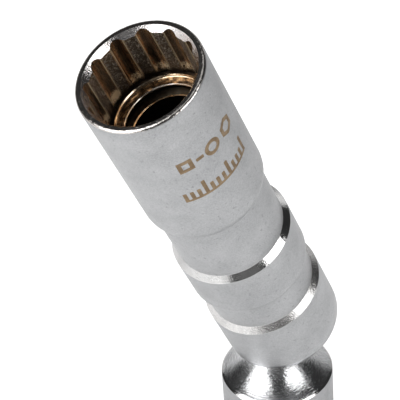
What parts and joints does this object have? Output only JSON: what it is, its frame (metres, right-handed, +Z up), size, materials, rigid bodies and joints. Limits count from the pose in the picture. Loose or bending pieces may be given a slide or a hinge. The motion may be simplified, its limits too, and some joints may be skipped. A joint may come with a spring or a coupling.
{
  "type": "swivel spark plug socket, 14 mm twelve-point",
  "caption": "Magnetic spark plug socket with a twelve-point opening and a ball swivel at its square drive end, standing on that end with the socket leant over.",
  "frame": {"origin": "middle of the drive end's flat foot, at the mouth of the square drive hole, on the ground", "axes": "+Z up along the drive end's axis; the socket leans 22.4 degrees towards -X in the XZ plane; +Y completes the right-handed frame"},
  "size_m": [0.0434, 0.019, 0.1022],
  "materials": {
    "satin_chrome": "blasted satin chrome plate with polished shoulders",
    "plated_washer": "nickel plate, warm tint",
    "magnet": "dark sintered magnet",
    "hardened_steel": "ground hardened steel",
    "spring_steel": "oiled spring steel"
  },
  "bodies": {
    "drive": {"drive_end": "satin_chrome"},
    "pin": {"cross_pin": "hardened_steel"},
    "socket": {"socket_body": "satin_chrome", "retaining_washer": "plated_washer", "magnet_ring": "magnet", "retaining_ring": "spring_steel", "spring_cap": "hardened_steel", "friction_spring": "spring_steel"}
  },
  "joints": [
    {"name": "pin_swing", "type": "hinge", "parent": "drive", "child": "pin", "pos_m": [0, 0, 0.04], "axis": [0.7208, 0.6931, 0], "range_deg": [0, 31.89]},
    {"name": "socket_swing", "type": "hinge", "parent": "pin", "child": "socket", "pos_m": [0, 0, 0.04], "axis": [0.6664, -0.6931, 0.2747], "range_deg": [-31.89, 0]}
  ]
}
